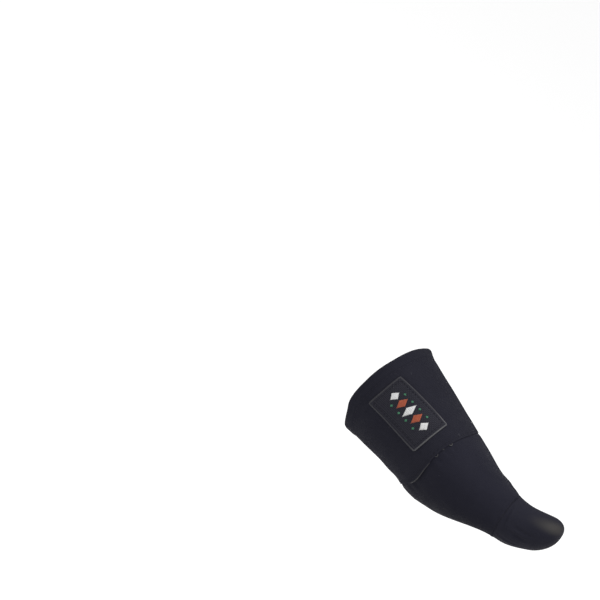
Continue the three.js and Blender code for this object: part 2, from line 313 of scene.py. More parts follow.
def stitchRuns(line, out, spec, closed=True):  # a row of stitches that dip into the cloth at both ends
    if closed:
        line, out = np.vstack([line, line[:1]]), np.vstack([out, out[:1]])
    length = runAlong(line)
    count = max(1, round(length[-1] / spec["pitch"]))
    pitch = length[-1] / count
    runs = []
    for k in range(count):
        t = np.linspace(0, 1, 7)
        at = pitch * (k + 0.5 + (t - 0.5) * spec["fill"])
        place, away = pointsAt(at, length, line), unit(pointsAt(at, length, out))
        rise = spec["rise"] * np.sin(np.pi * t) ** 0.6 - spec["sink"] * (1 - np.sin(np.pi * t))
        runs.append((place + away * rise[:, None], spec["radius"] * (0.75 + 0.25 * np.sin(np.pi * t))))
    return runs


# finishes
def newGroup(name, inputs, outputs):
    group = bpy.data.node_groups.new(name, "ShaderNodeTree")
    for label, kind, value in inputs:
        socket = group.interface.new_socket(name=label, in_out="INPUT", socket_type="NodeSocket" + kind)
        if value is not None:
            socket.default_value = value
    for label, kind in outputs:
        group.interface.new_socket(name=label, in_out="OUTPUT", socket_type="NodeSocket" + kind)
    return group, group.nodes.new("NodeGroupInput").outputs, group.nodes.new("NodeGroupOutput").inputs


def mathNode(tree, operation, first, second=None):
    node = tree.nodes.new("ShaderNodeMath")
    node.operation = operation
    for k, value in enumerate((first, second)):
        if value is None:
            continue
        if isinstance(value, (int, float)):
            node.inputs[k].default_value = value
        else:
            tree.links.new(value, node.inputs[k])
    return node.outputs[0]


def noiseNode(tree, vector, scale, detail):
    node = tree.nodes.new("ShaderNodeTexNoise")
    node.inputs["Scale"].default_value = scale
    node.inputs["Detail"].default_value = detail
    tree.links.new(vector, node.inputs["Vector"])
    return node.outputs["Fac"]


def rangeNode(tree, value, low, high, toLow, toHigh, kind="LINEAR"):
    node = tree.nodes.new("ShaderNodeMapRange")
    node.interpolation_type = kind
    for socket, number in zip(node.inputs[1:5], (low, high, toLow, toHigh)):
        socket.default_value = number
    tree.links.new(value, node.inputs[0])
    return node.outputs[0]


def mixNode(tree, factor, first, second, blend="MIX"):
    node = tree.nodes.new("ShaderNodeMix")
    node.data_type = "RGBA"
    node.blend_type = blend
    tree.links.new(factor, node.inputs["Factor"])
    tree.links.new(first, node.inputs["A"])
    if isinstance(second, tuple):
        node.inputs["B"].default_value = second
    else:
        tree.links.new(second, node.inputs["B"])
    return node.outputs["Result"]


def splitNode(tree, vector):
    node = tree.nodes.new("ShaderNodeSeparateXYZ")
    tree.links.new(vector, node.inputs[0])
    return node.outputs


def groupNode(tree, group, values, links):  # a shared group, placed with a material's own values
    node = tree.nodes.new("ShaderNodeGroup")
    node.node_tree = group
    for label, value in values.items():
        node.inputs[label].default_value = value
    for label, socket in links.items():
        tree.links.new(socket, node.inputs[label])
    return node.outputs


faceOutputs = [("Height", "Float"), ("Gap", "Float")]
toneOutputs = [("Color", "Color"), ("Roughness", "Float")]


def knitLoopsGroup():  # columns of small V loops on the length map
    group, inn, out = newGroup("knitLoops", [
        ("Map", "Vector", None), ("Wales per mm", "Float", 1.2),
        ("Courses per mm", "Float", 1.5)], faceOutputs)
    split = splitNode(group, inn["Map"])
    wale = mathNode(group, "FRACT", mathNode(group, "MULTIPLY", split["X"], inn["Wales per mm"]))
    side = mathNode(group, "ABSOLUTE", mathNode(group, "SUBTRACT", wale, 0.5))  # 0 mid loop, 0.5 between
    course = mathNode(group, "MULTIPLY", split["Y"], inn["Courses per mm"])
    loop = mathNode(group, "FRACT", mathNode(group, "ADD", course, mathNode(group, "MULTIPLY", side, 1.3)))
    crest = mathNode(group, "SINE", mathNode(group, "MULTIPLY", loop, math.pi))
    arch = mathNode(group, "SINE", mathNode(group, "MULTIPLY", mathNode(group, "FRACT", mathNode(
        group, "MULTIPLY", wale, 2.0)), math.pi))
    crest, arch = mathNode(group, "POWER", crest, 0.6), mathNode(group, "POWER", arch, 0.5)
    height = mathNode(group, "MULTIPLY", crest, arch)
    group.links.new(height, out["Height"])
    group.links.new(mathNode(group, "SUBTRACT", 1.0, height), out["Gap"])
    return group


def plainWeaveGroup():  # over and under of a fine ribbon weave
    group, inn, out = newGroup("plainWeave", [
        ("Map", "Vector", None), ("Threads per mm", "Float", 2.2)], faceOutputs)
    split = splitNode(group, inn["Map"])
    waves = []
    for axis in ("X", "Y"):
        turn = mathNode(group, "MULTIPLY", mathNode(
            group, "MULTIPLY", split[axis], inn["Threads per mm"]), math.pi)
        waves.append(mathNode(group, "SINE", turn))
    checker = mathNode(group, "MULTIPLY", waves[0], waves[1])
    height = mathNode(group, "ADD", mathNode(group, "MULTIPLY", checker, 0.5), 0.5)
    group.links.new(height, out["Height"])
    group.links.new(mathNode(group, "POWER", mathNode(group, "SUBTRACT", 1.0, mathNode(
        group, "ABSOLUTE", checker)), 3.0), out["Gap"])
    return group


toneScale = {"dye": 45, "hairCurl": 300, "hairPlace": 230, "roughness": 120}  # noise, per metre
hairs = {"thin": 0.006, "few": 0.68, "color": (0.09, 0.09, 0.1, 1)}


def clothToneGroup():  # dye that varies, painted shade on cloth that faces down, painted shade in the yarn gaps and a few pale lint hairs
    group, inn, out = newGroup("clothTone", [
        ("Place", "Vector", None), ("Dye", "Color", None), ("Rubbed", "Color", None), ("Gap", "Float", 0.0),
        ("Lint", "Float", 0.3), ("Smoothed", "Float", 0.0), ("Painted shade below", "Float", 0.0)], toneOutputs)
    place = inn["Place"]
    patches = rangeNode(group, noiseNode(group, place, toneScale["dye"], 3), 0.35, 0.7, 0.0, 0.55)
    dyed = mixNode(group, patches, inn["Dye"], inn["Rubbed"])
    # painted shade: the gaps between loops and threads are darkened in the colour
    shaded = mixNode(group, inn["Gap"], dyed, (0.36, 0.36, 0.42, 1), "MULTIPLY")
    # painted shade: cloth whose normal points downward is darkened, in place of the shade on its underside
    facing = splitNode(group, group.nodes.new("ShaderNodeNewGeometry").outputs["Normal"])
    below = rangeNode(group, facing["Z"], -0.8, 0.0, 1.0, 0.0)
    below = mathNode(group, "MULTIPLY", below, inn["Painted shade below"])
    paintedUnderShade = mixNode(group, below, shaded, (0, 0, 0, 1))
    curl = mathNode(group, "SUBTRACT", noiseNode(group, place, toneScale["hairCurl"], 0), 0.5)
    thin = mathNode(group, "LESS_THAN", mathNode(group, "ABSOLUTE", curl), hairs["thin"])
    few = mathNode(group, "GREATER_THAN", noiseNode(group, place, toneScale["hairPlace"], 1), hairs["few"])
    lint = mathNode(group, "MULTIPLY", mathNode(group, "MULTIPLY", thin, few), inn["Lint"])
    group.links.new(mixNode(group, lint, paintedUnderShade, hairs["color"]), out["Color"])
    rough = rangeNode(group, noiseNode(group, place, toneScale["roughness"], 2), 0.3, 0.7, 0.72, 0.84)
    group.links.new(mathNode(group, "SUBTRACT", rough, inn["Smoothed"]), out["Roughness"])
    return group


def threadTwistGroup():  # plied thread: slanting ridges on the length map
    group, inn, out = newGroup("threadTwist", [
        ("Map", "Vector", None), ("Turns per mm", "Float", 1.6)], faceOutputs)
    split = splitNode(group, inn["Map"])
    along = mathNode(group, "MULTIPLY", split["X"], inn["Turns per mm"])
    twist = mathNode(group, "MULTIPLY", mathNode(group, "ADD", along, split["Y"]), 2 * math.pi)
    ridge = mathNode(group, "ADD", mathNode(group, "MULTIPLY", mathNode(group, "SINE", twist), 0.5), 0.5)
    group.links.new(ridge, out["Height"])
    group.links.new(mathNode(group, "POWER", mathNode(group, "SUBTRACT", 1.0, ridge), 2.0), out["Gap"])
    return group


def paintedHighlightGroup():  # a painted highlight: a paler patch of colour in place of the sheen of light, also smoother where the cloth is drawn tight
    fadeOut, smoothing = 1.3, 0.2  # where the patch ends, in reaches, and how much smoother its middle is
    group, inn, out = newGroup("paintedHighlight", [
        ("Place", "Vector", None), ("Color", "Color", None), ("Roughness", "Float", 0.8),
        ("Middle", "Vector", None), ("Turn", "Vector", None), ("Reach", "Vector", (1, 1, 1)),
        ("Paler", "Color", None)], toneOutputs)
    shift = group.nodes.new("ShaderNodeMapping")
    shift.vector_type = "TEXTURE"
    sockets = {"Place": "Vector", "Middle": "Location", "Turn": "Rotation", "Reach": "Scale"}
    for label, socket in sockets.items():
        group.links.new(inn[label], shift.inputs[socket])
    away = group.nodes.new("ShaderNodeVectorMath")
    away.operation = "LENGTH"
    group.links.new(shift.outputs["Vector"], away.inputs[0])
    near = rangeNode(group, away.outputs["Value"], 0.0, fadeOut, 1.0, 0.0, "SMOOTHERSTEP")
    paler = mixNode(group, near, inn["Color"], inn["Paler"], "ADD")
    smoother = mathNode(group, "MULTIPLY", near, smoothing)
    group.links.new(paler, out["Color"])
    group.links.new(mathNode(group, "SUBTRACT", inn["Roughness"], smoother), out["Roughness"])
    return group


faceGroups = {"knit": knitLoopsGroup(), "weave": plainWeaveGroup(), "twist": threadTwistGroup()}
toneGroup, paintedShineGroup = clothToneGroup(), paintedHighlightGroup()


def fabricFinish(name, look):
    material = bpy.data.materials.new(name)
    material.use_nodes = True
    tree = material.node_tree
    shader = tree.nodes["Principled BSDF"]
    mapNode = tree.nodes.new("ShaderNodeUVMap")
    mapNode.uv_map = "clothMap"
    place = tree.nodes.new("ShaderNodeTexCoord").outputs["Object"]
    face = groupNode(tree, faceGroups[look["face"]], look["faceValues"], {"Map": mapNode.outputs["UV"]})
    tone = groupNode(tree, toneGroup, {
        "Dye": (*look["dye"], 1), "Rubbed": (*look["rubbed"], 1), "Lint": look["lint"],
        "Smoothed": look["smoothed"], "Painted shade below": look["paintedShadeBelow"],
    }, {"Place": place, "Gap": face["Gap"]})
    # painted highlight: a paler patch added to the colour where the look asks for one
    if "paintedShine" in look:
        paintedShine = look["paintedShine"]
        tone = groupNode(tree, paintedShineGroup, {
            "Middle": [c * mm for c in paintedShine["at"]], "Turn": (0, math.radians(paintedShine["tilt"]), 0),
            "Reach": [r * mm for r in paintedShine["reach"]], "Paler": (*paintedShine["paler"], 1),
        }, {"Place": place, "Color": tone["Color"], "Roughness": tone["Roughness"]})
    bump = tree.nodes.new("ShaderNodeBump")
    bump.inputs["Strength"].default_value = look["bump"]
    bump.inputs["Distance"].default_value = look["bumpDepth"] * mm
    tree.links.new(face["Height"], bump.inputs["Height"])
    tree.links.new(tone["Color"], shader.inputs["Base Color"])
    tree.links.new(tone["Roughness"], shader.inputs["Roughness"])
    tree.links.new(bump.outputs["Normal"], shader.inputs["Normal"])
    shader.inputs["Specular IOR Level"].default_value = look["gloss"]
    return material


paddedLoops = {"Wales per mm": 1.15, "Courses per mm": 1.4}
stretchLoops = {"Wales per mm": 1.5, "Courses per mm": 1.8}
clothLooks = {
    "paddedKnit": {
        "face": "knit", "faceValues": paddedLoops, "bump": 0.8, "bumpDepth": 0.3,
        "dye": (0.023, 0.023, 0.0325), "rubbed": (0.029, 0.029, 0.039), "paintedShadeBelow": 0.14,
        "lint": 0.35, "smoothed": 0.0, "gloss": 0.03},
    "stretchKnit": {
        "face": "knit", "faceValues": stretchLoops, "bump": 0.5, "bumpDepth": 0.2,
        "dye": (0.019, 0.019, 0.028), "rubbed": (0.0225, 0.0225, 0.032), "paintedShadeBelow": 0.36,
        "lint": 0.2, "smoothed": 0.08, "gloss": 0.03},
    "tautKnit": {
        "face": "knit", "faceValues": stretchLoops, "bump": 0.3, "bumpDepth": 0.15,
        "dye": (0.0175, 0.0175, 0.026), "rubbed": (0.021, 0.021, 0.03), "paintedShadeBelow": 0.16,
        "lint": 0.15, "smoothed": 0.1, "gloss": 0.05,
        # painted highlight on the toe's upper side near its tip
        "paintedShine": {"at": (118.2, -33.0, -2.6), "reach": (14.0, 8.0, 4.0), "tilt": -13,
                  "paler": (0.0245, 0.0225, 0.015)}},
    "wovenRibbon": {
        "face": "weave", "faceValues": {"Threads per mm": 1.3}, "bump": 0.9, "bumpDepth": 0.3,
        "dye": (0.023, 0.023, 0.0305), "rubbed": (0.0305, 0.0305, 0.038), "paintedShadeBelow": 0.0,
        "lint": 0.2, "smoothed": 0.1, "gloss": 0.06},
}
finishes = {finish: fabricFinish(finish, look) for finish, look in clothLooks.items()}
threadColors = {
    "seamThread": (0.014, 0.014, 0.02), "softThread": (0.0235, 0.0235, 0.0325),
    # the thread along the seam's lip is paler than the cloth as a painted highlight of the lip's edge
    "edgeThread": (0.037, 0.037, 0.042), "paleHighlightThread": (0.037, 0.037, 0.04),
    # the loose loops' thread is lighter grey as a painted highlight of thread catching light
    "paintedGlintThread": (0.07, 0.07, 0.07), "whiteThread": (0.74, 0.74, 0.72),
    "rustThread": (0.4, 0.1, 0.05), "greenThread": (0.06, 0.2, 0.11),
}
dullThreads = ("seamThread", "softThread")
# painted highlight: the end of the label's rim thread that faces the light is paler
paintedThreadShine = {"edgeThread": {
    "at": (38.3, -34.5, 0), "reach": (6.5, 20, 22), "tilt": 0, "paler": (0.046, 0.046, 0.045)}}
for threadName, color in threadColors.items():
    look = {
        "face": "twist", "faceValues": {"Turns per mm": 1.6}, "bump": 0.5, "bumpDepth": 0.08,
        "dye": color, "rubbed": tuple(min(1, c * 1.25) for c in color), "paintedShadeBelow": 0.0,
        "lint": 0, "smoothed": 0.2, "gloss": 0.05 if threadName in dullThreads else 0.2}
    if threadName in paintedThreadShine:
        look["paintedShine"] = paintedThreadShine[threadName]
    finishes[threadName] = fabricFinish(threadName, look)
print("finishes made:", len(finishes))


def dress(piece, finish, node=None):
    piece.data.materials.append(finishes[finish])
    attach(piece, "root")
    if node:
        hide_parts(node)
    return piece


# instep band
instepBand = {
    "wall": 2.0, "seamWall": 0.36, "lap": 6.0, "lapRamp": 3.0, "edgeInset": 0.3,
    "hemDepth": 5.0, "hemSwell": 0.42, "hemRamp": (-1.2, 0.6), "hemGroove": 0.1, "hemGrooveWidth": 0.55,
    # angle, and how far the cut edge is ahead of the rear line
    "edgeTrim": ((0, 0), (40, 0.35), (65, 0.6), (95, 0.5), (135, 0.4), (170, 0.4), (188, 0.45), (200, 0.65),
                 (209, 1.0), (221, 0.2), (232, -0.5), (241, -0.9), (252, -0.45), (266, 0), (315, 0)),
    "flare": {"angle": 58, "reach": 22, "rise": 1.1, "depth": 4.2},  # where the hem's upper corner stands off
    "seamLine": 1.5, "seamGroove": 0.14, "seamGrooveWidth": 0.6,  # stitch line behind the front edge
    "lip": {"angle": 193, "reach": 22, "rise": 0.45, "width": 0.9},  # where the seam's edge stands up
    "hollow": {"depth": 0.3, "behind": 2.4, "width": 1.3},  # behind the lip
    "softness": 0.22, "evenEnds": (4, 14),  # slow unevenness of the padding, fading out to hem and seam
    "flat": (0.205, 0.058),
}
stitchPitch = 2.6


def stitchPulse(ring, pitch):  # 1 at each stitch hole and 0 between, round a ring
    run = runAround(ring)
    total = run[-1] + norm(ring[0] - ring[-1])
    return 0.5 + 0.5 * np.cos(2 * np.pi * np.round(total / pitch) * run / total)


lipShare = bell(sleeveAngles - instepBand["lip"]["angle"], instepBand["lip"]["reach"])
lowerSide = {  # low on the inner side the seam draws the cloth in behind it, and the cloth swells ahead
    "angle": 246, "reach": 22,
    "drawn": {"depth": 1.0, "behind": 4.5, "spread": 5.0},
    "swell": {"depth": 0.8, "ahead": 11.0, "spread": 6.0},
}


def drawnIn(behindSeam):
    drawn, swell = lowerSide["drawn"], lowerSide["swell"]
    depth = drawn["depth"] * bell(behindSeam - drawn["behind"], drawn["spread"])
    depth = depth - swell["depth"] * bell(behindSeam + swell["ahead"], swell["spread"])
    return depth * bell(sleeveAngles - lowerSide["angle"], lowerSide["reach"])


def bandCloth():
    spec = instepBand
    lip, hollow, flare = spec["lip"], spec["hollow"], spec["flare"]
    share = np.concatenate([  # closer rows at the hem and at the seam
        np.linspace(0, 0.16, 22), np.linspace(0.16, 0.8, 34)[1:], np.linspace(0.8, 1, 26)[1:]])
    low = rearStation + spec["edgeInset"] + lineAt(spec["edgeTrim"], sleeveAngles)
    high = seamStation - spec["edgeInset"]
    base = np.array([sleevePoints(low + (high - low) * s, sleeveAngles) for s in share])
    out = outwardOf(base)
    fromRear = runFromStart(base)
    fromSeam = fromRear[-1] - fromRear
    hem = spec["hemDepth"]
    hemmed = 1 - rampUp(fromRear, *(hem + r for r in spec["hemRamp"]))
    outer = -spec["hemSwell"] * hemmed
    standing = flare["rise"] * bell((sleeveAngles - flare["angle"] + 180) % 360 - 180, flare["reach"])
    outer -= standing * (1 - rampUp(fromRear, 0, flare["depth"]))
    pulse = stitchPulse(base[0], stitchPitch)[None, :]
    outer += spec["hemGroove"] * bell(fromRear - hem, spec["hemGrooveWidth"]) * (0.7 + 0.3 * pulse)
    seamLine = bell(fromSeam - spec["seamLine"], spec["seamGrooveWidth"])
    outer += spec["seamGroove"] * seamLine * (0.5 + 0.5 * pulse)
    outer -= lipShare * lip["rise"] * bell(fromSeam, lip["width"])
    outer += lipShare * hollow["depth"] * bell(fromSeam - hollow["behind"], hollow["width"])
    turn = np.radians(sleeveAngles)[None, :]
    slow = np.sin(3 * turn + 0.09 * fromRear) * np.sin(0.16 * fromRear + 2 * turn)
    uneven = rampUp(fromRear, *spec["evenEnds"]) * rampUp(fromSeam, *spec["evenEnds"])
    outer += spec["softness"] * slow * uneven
    outer += drawnIn(fromSeam)
    lapped = rampUp(fromSeam, spec["lap"], spec["lap"] + spec["lapRamp"])
    inner = spec["seamWall"] + (spec["wall"] - spec["seamWall"]) * lapped
    inner = np.maximum(inner + spec["hemSwell"] * hemmed, outer + spec["seamWall"])
    piece = clothMesh("instepBandCloth", sleeveRows(base, out, outer, inner), True)
    dress(piece, "paddedKnit", "instep_band")
    return piece, base - out * outer[..., None], out, fromRear, fromSeam


bandPiece, bandFace, bandOut, bandFromRear, bandFromSeam = bandCloth()
print("instep band:", len(bandPiece.data.polygons), "faces")

# front panel
forefootPanel = {
    "wall": 1.6, "seamWall": 0.8, "lap": 5.6, "lapRows": 8, "closeRun": 6, "gap": 0.12, "seamFade": 1.3,
    "hemDepth": 3.4, "hemSwell": 0.18, "hemGroove": 0.22, "hemGrooveWidth": 0.5,
    "lipDip": {"depth": 0.3, "ahead": 2.2, "width": 2.2},  # ahead of the band's lip
    # angle and depth of the short pulls that the seam draws into the panel, each with a low ridge beside it
    "puckers": ((128, 0.16), (142, 0.34), (153, 0.2), (167, 0.32), (178, 0.16), (206, 0.22), (217, 0.24)),
    "pull": {"width": 1.3, "ahead": 1.5, "length": 5.0},
    "ridge": {"share": 0.5, "aside": 2.4, "width": 1.5, "ahead": 2, "length": 4.5},
    "degree": 0.55,  # millimetres to a degree along the seam
    "toeTurn": 0.08, "toeRidge": 0.1,  # the edge turns in at the toe seam, with a low ridge behind it
    "flat": (0.212, 0.068), "area": 0.0098,
}


def panelCloth():
    spec = forefootPanel
    dip, pull, ridge = spec["lipDip"], spec["pull"], spec["ridge"]
    lap = np.concatenate([
        np.linspace(-spec["lap"], 0, spec["lapRows"]), np.linspace(0, spec["closeRun"], 15)[1:]])
    rear = [sleevePoints(seamStation + s, sleeveAngles) for s in lap]
    start, ball = seamStation + spec["closeRun"], sleeveForm["sections"][-1][0]
    middle = [sleevePoints(start + (ball - start) * s, sleeveAngles) for s in (0.33, 0.67)]
    rings = forefootRings(np.concatenate([np.linspace(0, 0.88, 40), np.linspace(0.88, 1, 14)[1:]]))
    base = np.array([*rear, *middle, *rings])
    out = outwardOf(base)
    out[-1, :, 0] *= 0.3
    out[-1] = unit(out[-1])
    fromStart = runFromStart(base)
    fromSeam = fromStart - fromStart[spec["lapRows"] - 1]
    fromFront = fromStart[-1] - fromStart
    under = instepBand["seamWall"] + spec["gap"]
    ahead = np.maximum(fromSeam, 0)
    outer = under / (1 + (ahead / spec["seamFade"]) ** 2) + drawnIn(-fromSeam)
    dipped = lipShare * bell(ahead - dip["ahead"], dip["width"]) * rampUp(ahead, 0, 1.5)
    outer += dip["depth"] * dipped
    leaving = rampUp(ahead, 0, 1)
    for angle, deep in spec["puckers"]:
        aside = (sleeveAngles[None, :] - angle) * spec["degree"]
        drawn = bell(aside, pull["width"]) * bell(ahead - pull["ahead"], pull["length"])
        raised = bell(aside - ridge["aside"], ridge["width"]) * bell(ahead - ridge["ahead"], ridge["length"])
        outer += deep * (drawn - ridge["share"] * raised) * leaving
    column = np.arange(len(sleeveAngles))
    mouthSide = rampUp(column, facets["toe"] + 2, facets["toe"] + 10)
    mouthSide = mouthSide * rampUp(len(sleeveAngles) - column, 2, 10)
    pulse = stitchPulse(base[-1], stitchPitch)[None, :]
    hem = spec["hemDepth"]
    groove = bell(fromFront - hem, spec["hemGrooveWidth"]) * mouthSide * (0.7 + 0.3 * pulse)
    outer += spec["hemGroove"] * groove
    outer -= spec["hemSwell"] * (1 - rampUp(fromFront, hem - 1, hem + 0.5)) * mouthSide
    outer += spec["toeTurn"] * (1 - rampUp(fromFront, 0, 0.7)) * (1 - mouthSide)
    outer -= spec["toeRidge"] * bell(fromFront - 1.2, 0.9) * (1 - mouthSide)
    pressed = rampUp(ahead, 0.3, 3)
    inner = outer + spec["seamWall"] + (spec["wall"] - spec["seamWall"]) * pressed
    rounded = 0.12 + 0.88 * mouthSide[:, None]  # nearly flat where it butts on the toe pocket
    piece = clothMesh("forefootPanelCloth", sleeveRows(base, out, outer, inner, rounded), True)
    dress(piece, "stretchKnit", "forefoot_panel")
    return piece, base - out * outer[..., None], out, fromFront


panelPiece, panelFace, panelOut, panelFromFront = panelCloth()
print("front panel:", len(panelPiece.data.polygons), "faces")

# toe pocket
toePocket = {
    "wall": 1.6, "rootGap": 0.1, "seamDip": 0.1, "seamWidth": 1.1,
    "creases": (  # distance and angle at each end, and depth, which is below 0 for a ridge
        (2.8, 140, 4.4, 194, -0.42), (8, 176, 18, 184, 0.45), (8, 191, 17, 201, 0.42), (3, 214, 12, 224, 0.3),
    ),
    "creaseWidth": 0.75, "creaseFade": 2.2,
    "bank": {"share": 0.6, "aside": 1.5, "width": 0.9},  # the swell beside each crease
    "degree": 0.21,  # millimetres to a degree round the pocket
    "flat": (0.086, 0.036), "area": 0.0024,
}


def pocketCloth():
    length = toeForm["sections"][-1][0]
    dome = length * (1 - toeForm["domeFrom"])
    straight = np.concatenate([
        np.linspace(toePocket["rootGap"], 4, 14), np.linspace(4, length - dome, 26)[1:]])
    closing = length - dome + dome * np.sin(np.radians(np.linspace(0, 88.5, 26)[1:]))
    distances = np.concatenate([straight, closing])
    base = np.array([toePoints(np.full(len(toeAngles), d), toeAngles) for d in distances])
    out = outwardOf(base)
    out[0, :, 0] = 0
    out[0] = unit(out[0])
    dip = toePocket["seamDip"] * bell(distances - toePocket["rootGap"], toePocket["seamWidth"])
    outer = np.tile(dip[:, None], (1, len(toeAngles)))
    flat = np.stack(np.broadcast_arrays(distances[:, None], toeAngles * toePocket["degree"]), -1)
    bank = toePocket["bank"]
    for d0, a0, d1, a1, deep in toePocket["creases"]:
        start, end = np.array([d0, a0 * toePocket["degree"]]), np.array([d1, a1 * toePocket["degree"]])
        creaseRun = norm(end - start)
        ahead = (end - start) / creaseRun
        share = (flat - start) @ ahead / creaseRun
        aside = (flat - start) @ np.array([-ahead[1], ahead[0]])
        beyond = np.maximum(np.maximum(-share, share - 1), 0) * creaseRun
        strength = 0.35 + 0.65 * np.sin(np.pi * np.clip(share, 0.12, 0.88))
        fade = bell(beyond, toePocket["creaseFade"]) * strength
        swell = bank["share"] * bell(aside - bank["aside"], bank["width"])
        outer += deep * fade * (bell(aside, toePocket["creaseWidth"]) - swell)
    inner = outer + toePocket["wall"]
    root = edgeTurn(base[0], unit(base[0] - base[1]) * 0.1, out[0], outer[0], inner[0], 4)
    faceOut, faceIn = base - out * outer[..., None], base - out * inner[..., None]
    tip = toePoints(np.array([length]), np.array([0.0]))[0]
    poles = np.array([tip - [toePocket["wall"], 0, 0], tip])
    piece = clothMesh("toePocketCloth", np.array([*faceIn[::-1], *root[::-1], *faceOut]), False, poles)
    dress(piece, "tautKnit", "toe_pocket")
    return piece, faceOut, distances


pocketPiece, pocketFace, pocketDistances = pocketCloth()
print("toe pocket:", len(pocketPiece.data.polygons), "faces")

# sewn label
labelPatch = {
    "length": 34.5, "width": 21.2, "station": 18, "angle": 161, "slope": -0.33,
    "bottom": 0.05, "top": 0.6, "columns": 90, "lines": 58,
    "rolled": 0.5, "pressed": 0.12, "sewnAt": 1.7,  # rounded rim, and the line where the sewing presses it
    # the wrapped edge, with its turns per mm and the ridge of each turn
    "edgeRadius": 0.38, "edgeWide": 1.15, "edgeTall": 0.85, "edgeRise": 0.38, "edgeInset": 0.15,
    "edgeCorner": 0.7, "edgeTurns": 1.15, "edgeRidge": 0.14, "edgeSides": 14,
}


def labelPlace(along, across):  # point and outward direction on the band under the label
    along, across = np.broadcast_arrays(np.asarray(along, float), np.asarray(across, float))
    station, angle, reach = labelPatch["station"], labelPatch["angle"], 0.5
    ends = [sleevePoints(np.array(station + s), np.array(angle)) for s in (reach, -reach)]
    scale = norm(ends[0] - ends[1])
    at = station + along / scale
    middle = angle + labelPatch["slope"] * (at - station)
    aroundScale = norm(sleevePoints(at, middle + reach) - sleevePoints(at, middle - reach), axis=-1)
    turn = middle + across / aroundScale
    around = sleevePoints(at, turn + reach) - sleevePoints(at, turn - reach)
    ahead = sleevePoints(at + reach, turn) - sleevePoints(at - reach, turn)
    return sleevePoints(at, turn), unit(np.cross(around, ahead))


def labelCloth():
    spec = labelPatch
    u, v = np.linspace(-1, 1, spec["columns"]), np.linspace(-1, 1, spec["lines"])
    along, across = np.meshgrid(u * spec["length"] / 2, v * spec["width"] / 2, indexing="ij")
    place, out = labelPlace(along, across)
    inset = np.minimum(spec["length"] / 2 - np.abs(along), spec["width"] / 2 - np.abs(across))
    rolled = np.sqrt(np.clip(1 - (1 - np.clip(inset / spec["rolled"], 0, 1)) ** 2, 0, 1))
    height = spec["bottom"] + (spec["top"] - spec["bottom"]) * rolled
    height = height - spec["pressed"] * bell(inset - spec["sewnAt"], 0.45)
    upper = place + out * height[..., None]
    lower = place + out * (spec["bottom"] - 0.02)
    columns, lines = along.shape
    points = np.vstack([upper.reshape(-1, 3), lower.reshape(-1, 3)])
    index = np.arange(columns * lines).reshape(columns, lines)
    under = index + columns * lines
    faces, loopMap = [], []
    for j in range(columns - 1):
        for i in range(lines - 1):
            corner = [(j, i), (j, i + 1), (j + 1, i + 1), (j + 1, i)]
            faces.append([int(index[c]) for c in corner])
            faces.append([int(under[c]) for c in reversed(corner)])
            flat = [[along[c], across[c]] for c in corner]
            loopMap += flat + flat[::-1]
    ring = [(j, 0) for j in range(columns)] + [(columns - 1, i) for i in range(1, lines)]
    ring += [(j, lines - 1) for j in range(columns - 2, -1, -1)] + [(0, i) for i in range(lines - 2, 0, -1)]
    for a, b in zip(ring, ring[1:] + ring[:1]):
        faces.append([int(index[b]), int(index[a]), int(under[a]), int(under[b])])
        loopMap += [[along[c], across[c]] for c in (b, a, a, b)]
    piece = meshObject("labelCloth", points, faces, loopMap)
    return dress(piece, "wovenRibbon", "label")


def labelEdgePath(inset, corner, step):  # round the label, a set distance inside its edge
    halfLength, halfWidth = labelPatch["length"] / 2 - inset, labelPatch["width"] / 2 - inset
    outline = []
    for cx, cy, start in ((1, 1, 0), (-1, 1, 90), (-1, -1, 180), (1, -1, 270)):
        for a in np.radians(np.linspace(start, start + 90, 9)):
            outline.append((cx * (halfLength - corner) + corner * math.cos(a),
                            cy * (halfWidth - corner) + corner * math.sin(a)))
    outline = np.array(outline + outline[:1])
    run = runAlong(outline)
    at = np.linspace(0, run[-1], max(8, round(run[-1] / step)) + 1)
    return np.interp(at, run, outline[:, 0]), np.interp(at, run, outline[:, 1]), at


def labelEdge():  # thread wrapped over the label's edge
    spec = labelPatch
    along, across, run = labelEdgePath(spec["edgeInset"], spec["edgeCorner"], 0.16)
    place, out = labelPlace(along, across)
    center = place + out * spec["edgeRise"]
    ahead = unit(np.roll(center[:-1], -1, 0) - np.roll(center[:-1], 1, 0))
    ahead = np.vstack([ahead, ahead[:1]])
    side = unit(np.cross(out, ahead))
    rows = []
    wraps = round(run[-1] * spec["edgeTurns"])
    for s in range(spec["edgeSides"]):
        a = 2 * math.pi * s / spec["edgeSides"]
        slant = 1.5 * math.cos(a)  # the wraps lie aslant
        reach = spec["edgeRadius"] * (
            1 + spec["edgeRidge"] * np.cos(2 * math.pi * wraps * run / run[-1] - slant))
        wide, tall = reach * math.cos(a) * spec["edgeWide"], reach * math.sin(a) * spec["edgeTall"]
        rows.append(center + side * wide[:, None] + out * tall[:, None])
    rows = np.array(rows)[:, :-1]
    piece = clothMesh("labelEdgeThread", rows[::-1], True)
    return dress(piece, "edgeThread")


labelMotif = {  # a plain row of lozenges with dots between
    "lozenges": ((-11, 3.0, "whiteThread"), (-5.5, 3.9, "rustThread"), (0, 4.8, "whiteThread"),
                 (5.5, 3.9, "rustThread"), (11, 3.0, "whiteThread")),  # place along, half height, thread
    "halfLength": 2.1, "threadRadius": 0.17,
    "dots": (-8.25, -2.75, 2.75, 8.25), "dotOff": 4.6, "dotSize": 0.7,
}


